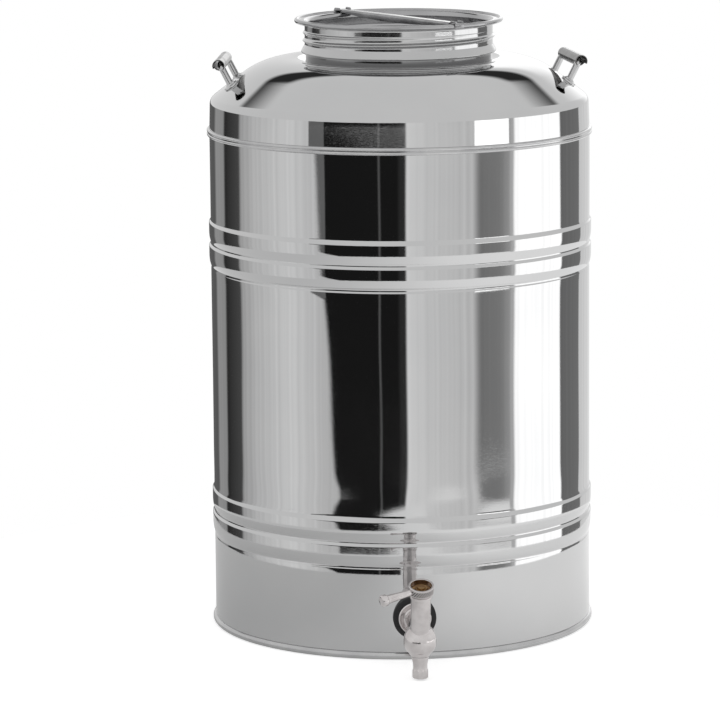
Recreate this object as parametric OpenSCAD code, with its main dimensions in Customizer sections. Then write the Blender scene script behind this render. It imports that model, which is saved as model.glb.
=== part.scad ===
// Stainless steel drum of 100 litres with a screw lid, two carrying handles
// and a lever tap. Millimetres, +Z up. The origin is on the drum's axis, in
// the plane that it stands on. The tap is at the front, towards -Y.

/* [Drum] */
// Outer radius of the plain wall
body_r = 225; // [215:1:235]
// Height of the seam between the wall and the shoulder
seam_z = 590; // [570:1:620]
// Thickness of the sheet steel
sheet_t = 1.0; // [0.8:0.1:1.2]
// Radius of the rolled wire bead at the foot
foot_roll_r = 4.35; // [3.5:0.05:5]
// Bottom edge of each stiffening bead
bead_z = [108, 136.5, 430, 458];
// Height of one stiffening bead
bead_h = 28; // [20:0.5:28]
// How far a bead stands out of the wall
bead_out = 2.0; // [1:0.1:3]

/* [Shoulder] */
// Radius of the knuckle between the wall and the slope
knuckle_r = 12; // [8:1:20]
// Slope of the shoulder, in degrees
slope_a = 36.5; // [30:0.5:40]
// Radius of the crown
crown_r = 92; // [85:1:95]
// Distance of the crown's highest ring from the axis
crown_axis_r = 130.3; // [128:0.1:134]
// Height of the crown above the seam
crown_h = 86; // [80:1:95]

/* [Neck and lid] */
// Outer radius of the neck where it meets the shoulder
neck_r = 110; // [108:0.5:112]
// Thread pitch
pitch = 10; // [8:0.5:12]
// Radial height of the rolled thread
thread_h = 2.6; // [1.5:0.1:3]
// Height of the neck's lip
lip_z = 718; // [714:0.5:722]
// Outer radius of the lid's pan
pan_r = 107.5; // [104:0.5:107.5]
// Depth of the lid's recess below its flange
pan_depth = 18; // [12:1:22]
// Radius of the lid's rolled edge
lid_roll_r = 2.7; // [2:0.1:3]
// Direction of the lid's grip bar, in degrees from +X
bar_angle = -58.9; // [-90:0.1:90]
// Width of the grip bar
bar_w = 14; // [10:1:20]

/* [Handles] */
// Radius of the bar
bail_r = 4; // [3:0.25:5]
// Distance between the two legs
bail_span = 92; // [80:1:110]
// Distance of the feet from the drum's middle plane
foot_x = 195; // [188:1:198]
// Turn of each handle about the drum's axis towards the back, in degrees
handle_turn = 6; // [0:1:10]
// Outward lean of the bail, in degrees
bail_lean = 27; // [20:1:35]
// Length of the leg, from the shoulder to the middle of the grip
leg_h = 28; // [26:1:40]
// Outer radius of the grip tube
grip_r = 7.25; // [6.5:0.25:9]
// Length of the grip tube
grip_l = 104; // [98:1:110]

/* [Tap] */
// Distance of the tap's upright axis in front of the wall
tap_reach = 95; // [80:1:120]
// Height of the shank
shank_z = 50; // [45:1:60]
// Radius of the threaded shank
shank_r = 13.2; // [12:0.1:14]
// Radius of the barrel
barrel_r = 11.25; // [10:0.25:12]
// Outward lean of the barrel, in degrees
barrel_lean = 20; // [0:1:25]
// Largest radius of the bulb
bulb_r = 18.8; // [16:0.1:20]
// Radius of the plug
plug_r = 7.95; // [7.5:0.05:7.95]
// Radius of the waterway
port_r = 5.5; // [4:0.25:6]
// Radius of the knurled ring
cap_r = 14.25; // [13:0.25:15]
// Distance of the lever's end from the barrel's axis
lever_l = 52; // [45:1:60]
// Direction of the lever when shut, in degrees from +X
lever_angle = 206.6; // [200:0.1:250]

/* [Hidden] */
$fn = 96;

steel = "lightsteelblue";
black_rubber = "#202020";
chrome = "silver";
brass = "goldenrod";

// Foot: the roll is cut flat where it rests
foot_z = foot_roll_r - 0.15;
foot_ring_r = body_r - 1.1;
wall_z = foot_z + foot_roll_r + 0.05;
floor_z = wall_z + 1.5;
inner_r = body_r - sheet_t;

// Shoulder: a knuckle, a straight slope and a crown, each tangent to the next
crown_z = seam_z + crown_h - crown_r;
knuckle_z = (sin(slope_a) * crown_axis_r + cos(slope_a) * crown_z + crown_r - knuckle_r
    - sin(slope_a) * (body_r - knuckle_r)) / cos(slope_a);

// Neck
neck_z = seam_z + crown_h - 5;
neck_bead_r = 5;
neck_bead_z = neck_z + 12;
thread_r = neck_r + 1;
thread_z = neck_bead_z + neck_bead_r + 1;
thread_end = lip_z - 4;
lip_r = 117.3;

// Lid
seal_t = 2;
flange_z = lip_z + seal_t;
pan_floor = flange_z - pan_depth;
pan_corner = 4;
roll_z = flange_z + 0.3;
lid_roll_at = 120.3;
bar_top = flange_z + 4.5;
bar_sheet = 1.2;
bar_end = 112;
bar_low = 8;
clip_gap = 0.1;

// Handles
pad_t = 2;
corner_r = 8;
grip_wall = 1.2;
grip_shift = grip_r - grip_wall - bail_r;
foot_up = shoulder_height(norm([foot_x, bail_span / 2]));

// Tap
tap_y = -body_r - tap_reach;
spout_z = 2;
spout_h = 25;
bulb_low = 16;
bulb_up = 22;
bulb_power = 2.3;
bulb_z = spout_z + spout_h + bulb_low;
plug_z = bulb_z - 7;
port_z = bulb_z + 4;
gland_z = 104;
gland_h = 6.2;
ring_z = gland_z + gland_h + 0.2;
ring_h = 9.6;
stem_r = 4.5;
lever_z = ring_z + 4;
flange_y = -body_r - 6;
flange_t = 5;
flange_r = 19;
gasket_r = 25;
oring_z = [plug_z + 1.5, port_z + 15, gland_z - 8];

// Points of an arc from angle a to angle b, in n steps
function arc(centre, r, a, b, n) =
    [for (i = [0:n]) centre + r * [cos(a + (b - a) * i / n), sin(a + (b - a) * i / n)]];

// Points in the opposite order
function reversed(p) = [for (i = [len(p) - 1:-1:0]) p[i]];

// Outer profile of one stiffening bead: it curves out slowly and steps back at its top
function bead(z) = [for (i = [0:7])
    [body_r + bead_out * sin(90 * i / 7), z + (bead_h - 1) * i / 7]];

// Outer profile of the wall, from the foot to the seam
wall_profile = concat([[body_r, wall_z]],
    [for (z = bead_z) each concat(bead(z), [[body_r, z + bead_h]])],
    [[body_r, seam_z]]);

// Shoulder profile, moved outwards by off, from the seam to the radius end_r
function shoulder(off, end_r) = concat([[body_r + off, seam_z]],
    arc([body_r - knuckle_r, knuckle_z], knuckle_r + off, 0, 90 - slope_a, 8),
    arc([crown_axis_r, crown_z], crown_r + off, 90 - slope_a,
        90 + asin((crown_axis_r - end_r) / (crown_r + off)), 16));

// Height of the shoulder's outside at radius r on its crown or slope
function shoulder_height(r) =
    r < crown_axis_r + crown_r * sin(slope_a)
        ? crown_z + sqrt(pow(crown_r, 2) - pow(r - crown_axis_r, 2))
        : crown_z + (crown_r - sin(slope_a) * (r - crown_axis_r)) / cos(slope_a);

// Outer profile of the neck
neck_profile = concat([[neck_r, neck_z - 3]],
    arc([neck_r, neck_bead_z], neck_bead_r, -90, 90, 10),
    [for (z = [thread_z:1:thread_end])
        [thread_r + thread_h * (1 - cos(360 * (z - thread_z) / pitch)) / 2, z]],
    [[thread_r, lip_z - 3]]);

// Ring of sheet between a profile and the same profile moved in by t
module sheet_ring(profile, t) {
    rotate_extrude()
        polygon(concat(profile, [for (p = reversed(profile)) p - [t, 0]]));
}

// Tube along +Z
module tube(r_out, r_in, h) {
    difference() {
        cylinder(r = r_out, h = h);
        translate([0, 0, -1])
            cylinder(r = r_in, h = h + 2);
    }
}

// Children moved to the shank, with their +Z pointing into the drum (+Y)
module at_shank(y) {
    translate([0, y, shank_z])
        rotate([-90, 0, 0])
            children();
}

module body_shell() {
    color(steel)
        difference() {
            sheet_ring(wall_profile, sheet_t);
            at_shank(-body_r - 10)
                cylinder(r = shank_r + 0.3, h = 40);
        }
}

module bottom_plate() {
    color(steel)
        rotate_extrude()
            polygon([[0, floor_z + 2], [170, floor_z], [inner_r - 4, floor_z],
                [inner_r - 0.05, floor_z + 4], [inner_r - 0.05, floor_z + 14],
                [inner_r - 1.05, floor_z + 14], [inner_r - 1.05, floor_z + 4.4],
                [inner_r - 4.4, floor_z + 1], [170, floor_z + 1], [0, floor_z + 3]]);
}

module foot_ring() {
    color(steel)
        rotate_extrude()
            intersection() {
                translate([foot_ring_r, foot_z])
                    circle(r = foot_roll_r);
                translate([foot_ring_r - 10, 0])
                    square([20, 20]);
            }
}

module seam_hoop() {
    color(steel)
        rotate_extrude()
            polygon(concat([[body_r + 0.05, seam_z - 4.4]],
                arc([body_r + 0.9, seam_z - 2.2], 2, -90, 60, 6),
                arc([body_r + 0.9, seam_z + 2.2], 2, -60, 90, 6),
                [[body_r + 0.05, seam_z + 4.4]]));
}

module shoulder_dome() {
    color(steel)
        rotate_extrude()
            polygon(concat(shoulder(0, neck_r), reversed(shoulder(-sheet_t, neck_r))));
}

module neck_ring() {
    color(steel)
        rotate_extrude()
            polygon(concat(neck_profile,
                [[thread_r + 2, lip_z - 1], [lip_r, lip_z - 1], [lip_r, lip_z],
                    [thread_r + 1.4, lip_z]],
                [for (p = reversed(neck_profile)) p - [sheet_t, 0]]));
}

module lid_seal() {
    color(black_rubber)
        translate([0, 0, lip_z])
            tube(lip_r - 0.1, thread_r + 1.6, seal_t);
}

module lid_pan() {
    color(steel)
        rotate_extrude() {
            polygon(concat(
                arc([pan_r - pan_corner, pan_floor + pan_corner], pan_corner, -90, 0, 6),
                [[pan_r, flange_z], [lid_roll_at, flange_z], [lid_roll_at, flange_z + 1],
                    [pan_r, flange_z + 1], [pan_r - 1, flange_z]],
                arc([pan_r - pan_corner, pan_floor + pan_corner], pan_corner - 1, 0, -90, 6),
                [[90, pan_floor + 1], [84, pan_floor + 3], [0, pan_floor + 4],
                    [0, pan_floor + 3], [84, pan_floor + 2], [90, pan_floor]]));
            translate([lid_roll_at, roll_z])
                circle(r = lid_roll_r);
        }
}

// Side view of the grip bar: straight on top, deeper in the middle
module bar_side() {
    reach = pan_r - 2.5;
    polygon(concat([[-bar_end, flange_z + 1], [-bar_end, bar_top], [bar_end, bar_top],
            [bar_end, flange_z + 1]],
        [for (i = [8:-1:-8])
            [reach * i / 8, flange_z + 1 - (bar_low - 3.5) * (1 - pow(i / 8, 2))]]));
}

module lid_bar() {
    color(steel)
        rotate([0, 0, bar_angle])
            difference() {
                rotate([90, 0, 0])
                    linear_extrude(bar_w, center = true)
                        bar_side();
                translate([-bar_end - 1, -bar_w / 2 + bar_sheet, 0])
                    cube([2 * bar_end + 2, bar_w - 2 * bar_sheet, bar_top - bar_sheet]);
            }
}

// A strip folded over the lid's rolled edge, with an ear on each side of the bar
module lid_bar_clips() {
    half = 4.2;
    top = roll_z + lid_roll_r + clip_gap;
    out = lid_roll_at + lid_roll_r + clip_gap;
    color(steel)
        for (side = [0, 180])
            rotate([0, 0, bar_angle + side - half]) {
                rotate_extrude(angle = 2 * half)
                    polygon([[bar_end + 0.6, top], [out, top], [out, top - 5],
                        [out + 1.2, top - 5], [out + 1.2, top + 1.2], [bar_end + 0.6, top + 1.2]]);
                for (at = [0, 2 * half - 0.7])
                    rotate([0, 0, at])
                        rotate_extrude(angle = 0.7)
                            polygon([[bar_end + 0.6, top + 1.2], [out + 0.6, top + 1.2],
                                [out - 1, top + 3.2], [bar_end + 2, top + 3.2]]);
            }
}

// Children moved to a handle: local X runs along the grip, local Y along the legs
module at_handle(side) {
    mirror([side < 0 ? 1 : 0, 0, 0])
        rotate([0, 0, handle_turn])
            translate([foot_x, 0, foot_up])
                rotate([0, bail_lean, 0])
                    rotate([90, 0, 90])
                        children();
}

// Everything below the shoulder's outside, moved out by off
module under_shoulder(off) {
    rotate_extrude()
        polygon(concat([[0, seam_z]], shoulder(off, neck_r),
            [[0, seam_z + crown_h - 10]]));
}

// Pads of sheet on the shoulder under each leg, with a raised weld collar
module handle_feet(side) {
    color(steel)
        difference() {
            union() {
                intersection() {
                    under_shoulder(pad_t);
                    at_handle(side)
                        for (end = [-1, 1])
                            translate([end * bail_span / 2, 0, 0])
                                rotate([90, 0, 0])
                                    cylinder(r = 9, h = 40, center = true);
                }
                intersection() {
                    under_shoulder(pad_t + 2);
                    at_handle(side)
                        for (end = [-1, 1])
                            translate([end * bail_span / 2, 0, 0])
                                rotate([90, 0, 0])
                                    cylinder(r = bail_r + 1.5, h = 40, center = true);
                }
            }
            under_shoulder(0);
            at_handle(side)
                for (end = [-1, 1])
                    translate([end * bail_span / 2, 0, 0])
                        rotate([90, 0, 0])
                            cylinder(r = bail_r, h = 80, center = true);
        }
}

// U of round bar: two legs, two bends and the length inside the grip
module handle_bail(side) {
    color(steel)
        difference() {
            at_handle(side) {
                for (end = [-1, 1])
                    translate([end * bail_span / 2, 0, 0]) {
                        translate([0, leg_h - corner_r, 0])
                            rotate([90, 0, 0])
                                cylinder(r = bail_r, h = leg_h - corner_r + 14);
                        translate([-end * corner_r, leg_h - corner_r, 0])
                            rotate([0, 0, end > 0 ? 0 : 90])
                                rotate_extrude(angle = 90)
                                    translate([corner_r, 0])
                                        circle(r = bail_r);
                    }
                translate([-bail_span / 2 + corner_r, leg_h, 0])
                    rotate([0, 90, 0])
                        cylinder(r = bail_r, h = bail_span - 2 * corner_r);
            }
            under_shoulder(0);
        }
}

// Rolled tube round the bar, open along a slot on its lower side, where the legs come out
module handle_grip(side) {
    notch = bail_r + 0.2;
    color("dimgray")
        at_handle(side)
            difference() {
                translate([-grip_l / 2, leg_h, grip_shift])
                    rotate([0, 90, 0])
                        tube(grip_r, grip_r - grip_wall, grip_l);
                translate([-grip_l, leg_h - 3 * grip_r, grip_shift - 1])
                    cube([2 * grip_l, 3 * grip_r, 2]);
                for (end = [0, 180])
                    rotate([0, end, 0])
                        translate([bail_span / 2 - corner_r - 2, leg_h - 3 * grip_r, -notch])
                            cube([grip_l, 3 * grip_r, 2 * notch]);
            }
}

module handle_feet_left() {
    handle_feet(-1);
}

module handle_bail_left() {
    handle_bail(-1);
}

module handle_grip_left() {
    handle_grip(-1);
}

module handle_feet_right() {
    handle_feet(1);
}

module handle_bail_right() {
    handle_bail(1);
}

module handle_grip_right() {
    handle_grip(1);
}

module tap_outer_gasket() {
    color(black_rubber)
        difference() {
            at_shank(flange_y)
                tube(gasket_r, shank_r + 0.1, 12);
            translate([0, 0, wall_z])
                cylinder(r = body_r, h = 95, $fn = 720);
        }
}

module tap_flange() {
    color(chrome)
        at_shank(flange_y - flange_t)
            difference() {
                rotate_extrude()
                    polygon([[0, 1.5], [flange_r - 3, 1.5], [flange_r - 1.2, 2.4],
                        [flange_r, 4], [flange_r, flange_t], [0, flange_t]]);
                translate([0, 0, -1])
                    cylinder(r = shank_r + 0.05, h = flange_t + 2);
            }
}

module tap_inner_gasket() {
    color(black_rubber)
        intersection() {
            at_shank(-body_r - 5)
                tube(gasket_r, shank_r + 0.1, 13);
            translate([0, 0, wall_z])
                cylinder(r = inner_r, h = 95, $fn = 720);
        }
}

module tap_washer() {
    color(chrome)
        at_shank(-body_r + 8)
            tube(gasket_r - 3, shank_r + 0.1, 2);
}

module tap_back_nut() {
    color(chrome)
        at_shank(-body_r + 10)
            difference() {
                cylinder(r = 20.8, h = 9, $fn = 6);
                translate([0, 0, -1])
                    cylinder(r = shank_r + 0.05, h = 11);
            }
}

// Outside of the bulb, fuller above than below
bulb_profile = concat([[0, spout_z + spout_h], [10, spout_z + spout_h]],
    [for (i = [5:10]) [bulb_r * sin(9 * i), bulb_z - bulb_low * cos(9 * i)]],
    [for (h = [2:2:20])
        [bulb_r * pow(1 - pow(h / bulb_up, bulb_power), 1 / bulb_power), bulb_z + h]],
    [[0, bulb_z + bulb_up]]);

// Children moved to the leaning barrel, which is tilted about the middle of the bulb
module at_barrel(z) {
    translate([0, tap_y, bulb_z])
        rotate([barrel_lean, 0, 0])
            translate([0, 0, z - bulb_z])
                children();
}

module tap_body() {
    color(chrome)
        difference() {
            union() {
                translate([0, tap_y, 0])
                    rotate_extrude()
                        polygon(bulb_profile);
                at_barrel(bulb_z)
                    cylinder(r = barrel_r, h = gland_z - bulb_z);
                at_shank(tap_y)
                    cylinder(r = 11, h = tap_reach - 10);
                at_shank(flange_y - flange_t)
                    cylinder(r = shank_r, h = 38);
            }
            at_shank(tap_y)
                cylinder(r = port_r + 1, h = 140);
            translate([0, tap_y, spout_z + spout_h - 1])
                cylinder(r = port_r, h = bulb_z - spout_z - spout_h);
            at_barrel(plug_z - 0.2)
                cylinder(r = plug_r + 0.05, h = 90);
        }
}

module spout_tip() {
    color(chrome)
        translate([0, tap_y, 0])
            difference() {
                union() {
                    rotate_extrude()
                        polygon([[0, spout_z], [8.2, spout_z], [8.2, spout_z + 15],
                            [9.9, spout_z + spout_h], [0, spout_z + spout_h]]);
                    for (i = [0:9])
                        rotate([0, 0, 36 * i])
                            translate([7.4, 0, spout_z])
                                cylinder(r = 1.6, h = 10);
                }
                translate([0, 0, spout_z - 1])
                    cylinder(r = 6, h = spout_h + 2);
            }
}

module tap_gland() {
    color(chrome)
        at_barrel(gland_z)
            difference() {
                rotate_extrude()
                    polygon([[0, 0], [barrel_r + 0.4, 0], [barrel_r + 1.4, 1.2],
                        [barrel_r + 1.4, gland_h - 2], [barrel_r + 0.6, gland_h - 1.2],
                        [barrel_r + 0.6, gland_h], [0, gland_h]]);
                translate([0, 0, -1])
                    cylinder(r = stem_r + 0.05, h = gland_h + 2);
            }
}

// Plug with a waterway that turns from its side to its foot
module tap_plug() {
    color(chrome)
        difference() {
            union() {
                at_barrel(plug_z)
                    cylinder(r = plug_r, h = gland_z - plug_z - 1.2);
                at_barrel(gland_z - 2)
                    cylinder(r = stem_r, h = 16);
            }
            at_barrel(plug_z - 1)
                cylinder(r = port_r, h = port_z - plug_z + 1);
            at_barrel(port_z)
                rotate([0, 90, 0])
                    cylinder(r = port_r, h = 20);
            at_barrel(port_z)
                sphere(r = port_r);
            for (z = oring_z)
                at_barrel(z)
                    tube(plug_r + 1, plug_r - 1.2, 2);
            at_barrel(gland_z + 13)
                translate([-0.6, -10, 0])
                    cube([1.2, 20, 5]);
        }
}

// Sealing rings in the plug's grooves
module plug_orings() {
    color(black_rubber)
        for (z = oring_z)
            at_barrel(z + 1)
                rotate_extrude()
                    intersection() {
                        translate([plug_r - 0.6, 0])
                            circle(r = 0.6, $fn = 24);
                        translate([plug_r - 2, -2])
                            square([2, 4]);
                    }
}

module thrust_washer() {
    color("ivory")
        at_barrel(gland_z - 1.1)
            tube(plug_r - 0.2, stem_r + 0.05, 1);
}

// Knurled ring of the lever, open above round the stem nut
module tap_cap_ring() {
    color(chrome)
        at_barrel(ring_z)
            difference() {
                rotate_extrude()
                    polygon([[0, 0], [cap_r - 0.8, 0], [cap_r, 0.8], [cap_r, ring_h - 0.8],
                        [cap_r - 0.8, ring_h], [0, ring_h]]);
                translate([0, 0, 2.4])
                    cylinder(r = cap_r - 2.2, h = ring_h);
                translate([0, 0, -1])
                    cylinder(r = stem_r + 0.05, h = ring_h);
            }
}

module stem_washer() {
    color(brass)
        at_barrel(ring_z + 2.4)
            tube(cap_r - 3, stem_r + 0.05, 0.8);
}

module stem_nut() {
    color(brass)
        at_barrel(ring_z + 3.2)
            difference() {
                cylinder(r = 7.5, h = 3.2, $fn = 6);
                translate([0, 0, -1])
                    cylinder(r = stem_r + 0.05, h = 6);
            }
}

// Lever that widens outwards and ends in a flared knob with bevelled edges
module tap_lever() {
    knob = 8;
    color(chrome)
        difference() {
            at_barrel(lever_z)
                rotate([0, 90, lever_angle]) {
                    cylinder(r1 = 3.6, r2 = 5.2, h = lever_l - knob + 0.5);
                    translate([0, 0, lever_l - knob])
                        rotate_extrude()
                            polygon([[0, 0], [5.2, 0], [6.8, 1.6], [6.8, knob - 1.4],
                                [5.4, knob], [0, knob]]);
                }
            at_barrel(lever_z - 20)
                cylinder(r = cap_r, h = 40);
        }
}

body_shell();
bottom_plate();
foot_ring();
seam_hoop();
shoulder_dome();
neck_ring();
lid_seal();
lid_pan();
lid_bar();
lid_bar_clips();
handle_feet_left();
handle_bail_left();
handle_grip_left();
handle_feet_right();
handle_bail_right();
handle_grip_right();
tap_outer_gasket();
tap_flange();
tap_inner_gasket();
tap_washer();
tap_back_nut();
tap_body();
spout_tip();
tap_gland();
tap_plug();
plug_orings();
thrust_washer();
tap_cap_ring();
stem_washer();
stem_nut();
tap_lever();
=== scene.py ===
"""Looks of a polished steel drum with a screw lid, two handles and a lever tap.

Lengths are in millimetres until a mesh is made, and in metres in the camera and the materials. The
drum's axis is Z, and the tap is at the front, towards -Y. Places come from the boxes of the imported
frame's nodes, and sizes that no box shows are named values.
"""

import math
from functools import partial

import bmesh
import bpy
import numpy as np
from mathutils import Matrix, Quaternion, Vector


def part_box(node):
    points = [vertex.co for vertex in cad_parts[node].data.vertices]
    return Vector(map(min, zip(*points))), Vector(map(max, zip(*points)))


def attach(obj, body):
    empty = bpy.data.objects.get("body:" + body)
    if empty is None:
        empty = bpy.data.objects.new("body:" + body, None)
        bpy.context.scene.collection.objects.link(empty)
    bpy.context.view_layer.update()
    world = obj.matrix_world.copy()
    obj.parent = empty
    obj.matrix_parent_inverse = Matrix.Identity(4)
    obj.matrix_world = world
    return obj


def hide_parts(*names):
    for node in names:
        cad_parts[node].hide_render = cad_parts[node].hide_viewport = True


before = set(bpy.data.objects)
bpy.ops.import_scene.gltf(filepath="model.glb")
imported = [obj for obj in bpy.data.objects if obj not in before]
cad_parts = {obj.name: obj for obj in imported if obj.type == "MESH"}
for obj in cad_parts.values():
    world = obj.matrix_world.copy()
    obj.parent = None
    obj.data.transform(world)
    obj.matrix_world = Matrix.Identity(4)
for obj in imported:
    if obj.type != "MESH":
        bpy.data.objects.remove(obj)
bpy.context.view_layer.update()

MM = 0.001
LOW, HIGH = 0, 1
ROUND = 720


def edge(node, side, axis):
    """Where a CAD node's box ends along an axis, in millimetres."""
    return round(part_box(node)[side]["xyz".index(axis)] / MM, 1)


# Drum, from the frame
sheet = 1.0
wall_r = edge("shoulder_dome", HIGH, "x")
wall_z = edge("body_shell", LOW, "z")
bead_out = edge("body_shell", HIGH, "x") - wall_r
seam_z = edge("shoulder_dome", LOW, "z")
crown_z = edge("shoulder_dome", HIGH, "z")
foot_roll = 4.35
foot_at = (wall_r - 1.1, foot_roll - 0.15)
bead_foots = (108, 136.5, 430, 458)
bead_h = 28

# Shoulder: a knuckle, a straight slope and a crown
slope_a = 36.5
knuckle_r = 12
crown_r = 92
crown_at = (130.3, crown_z - crown_r)
slope_cos, slope_sin = math.cos(math.radians(slope_a)), math.sin(math.radians(slope_a))
slope_top = (crown_at[0] + crown_r * slope_sin, crown_at[1] + crown_r * slope_cos)
knuckle_x = wall_r - knuckle_r
knuckle_z = (slope_top[1] * slope_cos + slope_top[0] * slope_sin - knuckle_r
             - knuckle_x * slope_sin) / slope_cos

# Neck and lid
neck_r = 110
lip_z = edge("neck_ring", HIGH, "z")
lip_r = edge("neck_ring", HIGH, "x")
thread_r = neck_r + 1
thread_h = 2.6
pitch = 10
thread_low, thread_high = lip_z - 29, lip_z - 4
neck_bead_z = crown_z + 7
flange_z = edge("lid_seal", HIGH, "z")
pan_floor = edge("lid_pan", LOW, "z")
pan_r = 107.5
lid_roll = 2.7
roll_at = (edge("lid_pan", HIGH, "x") - lid_roll, flange_z + 0.3)
bar_top = edge("lid_bar", HIGH, "z")
bar_angle = -58.9
bar_w = 14
bar_end = 112

# Handles
foot_x = 195
handle_turn = math.radians(6)
bail_r = 4
bail_half = 46
bail_lean = math.radians(27)
leg_h = 28
bail_corner = 8
grip_r = 7.25
grip_wall = 1.2
grip_half = 52
grip_shift = grip_r - grip_wall - bail_r

# Tap: an upright bulb and spout, and a barrel that leans outwards
tap_y = round((edge("spout_tip", LOW, "y") + edge("spout_tip", HIGH, "y")) / 2, 1)
spout_z = edge("spout_tip", LOW, "z")
body_z = edge("spout_tip", HIGH, "z")
shank_z = round((edge("tap_flange", LOW, "z") + edge("tap_flange", HIGH, "z")) / 2, 1)
flange_y = edge("tap_flange", HIGH, "y")
shank_r = 13.2
bulb_z = body_z + 16
ring_low, ring_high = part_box("tap_cap_ring")
ring_out = tap_y - (ring_low[1] + ring_high[1]) / 2 / MM
ring_up = (ring_low[2] + ring_high[2]) / 2 / MM - bulb_z
lean = math.atan2(ring_out, ring_up)
ring_h = 9.6
ring_z = round(bulb_z + math.hypot(ring_out, ring_up) - ring_h / 2, 1)
gland_z = ring_z - 6.4
ring_r = 14.25
KNURLS = 15
KNURL_SLANT = 0.8
barrel_r = 11.25
lever_z = ring_z + 4
lever_angle = 206.6
lever_end = 52


# ---------------------------------------------------------------- shapes

def arc(centre, radius, start, end, steps):
    """Points of an arc from one angle to another."""
    turns = np.radians(np.linspace(start, end, steps + 1))
    return [(centre[0] + radius * math.cos(t), centre[1] + radius * math.sin(t)) for t in turns]


def line(start, end, steps):
    """Points of a straight stretch, without its last one."""
    a, b = np.array(start, float), np.array(end, float)
    return [tuple(a + (b - a) * i / steps) for i in range(steps)]


def inward(profile, thickness):
    """The same profile moved towards the axis, in the opposite order."""
    return [(r - thickness, z) for r, z in reversed(profile)]


def smooth_step(value, low, high):
    """0 below low and 1 above high, with a smooth rise between."""
    t = np.clip((np.asarray(value, float) - low) / (high - low), 0, 1)
    return t * t * (3 - 2 * t)


def surface(points, ring_u, ring_v, caps=False):
    """Points and faces of a grid, an array of rows by columns by 3. Rings close on themselves."""
    rows, columns = points.shape[:2]
    index = np.arange(rows * columns).reshape(rows, columns)
    if ring_u:
        index = np.vstack([index, index[:1]])
    if ring_v:
        index = np.hstack([index, index[:, :1]])
    faces = np.stack([index[:-1, :-1], index[1:, :-1], index[1:, 1:], index[:-1, 1:]], -1)
    faces = faces.reshape(-1, 4).tolist()
    if caps:
        faces.append(list(range(columns)))
        faces.append([(rows - 1) * columns + i for i in range(columns)])
    return points.reshape(-1, 3), faces


def turned(profile, steps=ROUND, shape=None):
    """A closed profile of (r, z) turned about Z. shape(r, z, angle) may change its radius."""
    r, z = np.array(profile, float).T
    angle = np.arange(steps)[:, None] * 2 * math.pi / steps
    radius = shape(r, z, angle) if shape else np.broadcast_to(r, (steps, len(r)))
    height = np.broadcast_to(z, radius.shape)
    return surface(np.stack([radius * np.cos(angle), radius * np.sin(angle), height], -1), True, True)


def rod(radius, low, high, steps=180):
    """A plain cylinder about Z."""
    return turned([(0, low), (radius, low), (radius, high), (0, high)], steps)


def placed(part, origin, x_axis, y_axis, z_axis):
    """A part moved to an origin and three axes."""
    points, faces = part
    return points @ np.array([x_axis, y_axis, z_axis], float) + np.array(origin, float), faces


def on_tap(part, z=0):
    """A part turned about Z, moved to the upright axis of bulb and spout."""
    return placed(part, (0, tap_y, z), (1, 0, 0), (0, 1, 0), (0, 0, 1))


def on_barrel(part, z=0):
    """A part turned about Z, moved to the leaning barrel, which is tilted about the bulb's middle."""
    c, s = math.cos(lean), math.sin(lean)
    up = z - bulb_z
    return placed(part, (0, tap_y - s * up, bulb_z + c * up), (1, 0, 0), (0, c, s), (0, -s, c))


def on_shank(part, y):
    """A part turned about Z, moved to the shank, its Z pointing into the drum."""
    return placed(part, (0, y, shank_z), (1, 0, 0), (0, 0, -1), (0, 1, 0))


def piece(name, parts, material, body, stands_for=(), crease=38, bevel=0):
    """One object made of parts, riding on a body in place of CAD nodes."""
    points, faces = [], []
    for part_points, part_faces in parts:
        start = len(points)
        points += (part_points * MM).tolist()
        faces += [[start + i for i in face] for face in part_faces]
    mesh = bpy.data.meshes.new(name)
    mesh.from_pydata(points, [], faces)
    build = bmesh.new()
    build.from_mesh(mesh)
    bmesh.ops.remove_doubles(build, verts=build.verts, dist=2e-7)
    bmesh.ops.recalc_face_normals(build, faces=build.faces)
    if bevel:
        sharp = [e for e in build.edges if e.calc_face_angle(0) > math.radians(crease)]
        bmesh.ops.bevel(build, geom=sharp, offset=bevel * MM, segments=3, profile=0.5, affect="EDGES")
    build.to_mesh(mesh)
    build.free()
    mesh.shade_smooth()
    mesh.set_sharp_from_angle(angle=math.radians(crease))
    made = bpy.data.objects.new(name, mesh)
    bpy.context.scene.collection.objects.link(made)
    mesh.materials.append(material)
    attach(made, body)
    if stands_for:
        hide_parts(*stands_for)
    return made


def settled(made):
    """The object with its modifiers applied."""
    bpy.context.view_layer.update()
    shown = made.evaluated_get(bpy.context.evaluated_depsgraph_get())
    made.data = bpy.data.meshes.new_from_object(shown)
    made.modifiers.clear()
    return made


# ---------------------------------------------------------------- materials

def node(tree, kind, inputs=None, **settings):
    """A shader node with its settings, and its inputs set or linked."""
    made = tree.nodes.new(kind)
    for key, value in settings.items():
        setattr(made, key, value)
    for key, value in (inputs or {}).items():
        if isinstance(value, bpy.types.NodeSocket):
            tree.links.new(value, made.inputs[key])
        else:
            made.inputs[key].default_value = value
    return made


def shader(name):
    """A new material, its node tree, its shader and its object coordinates."""
    made = bpy.data.materials.new(name)
    made.use_nodes = True
    tree = made.node_tree
    place = node(tree, "ShaderNodeTexCoord").outputs["Object"]
    return made, tree, tree.nodes["Principled BSDF"], place


def ranged(tree, value, low, high, to_low, to_high):
    """A value mapped smoothly from one range to another."""
    made = node(tree, "ShaderNodeMapRange", {
        "Value": value, "From Min": low, "From Max": high, "To Min": to_low, "To Max": to_high},
        interpolation_type="SMOOTHSTEP")
    return made.outputs["Result"]


def math_node(tree, a, b, operation="MULTIPLY"):
    """The result of a calculation with two values."""
    return node(tree, "ShaderNodeMath", {0: a, 1: b}, operation=operation).outputs[0]


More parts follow.
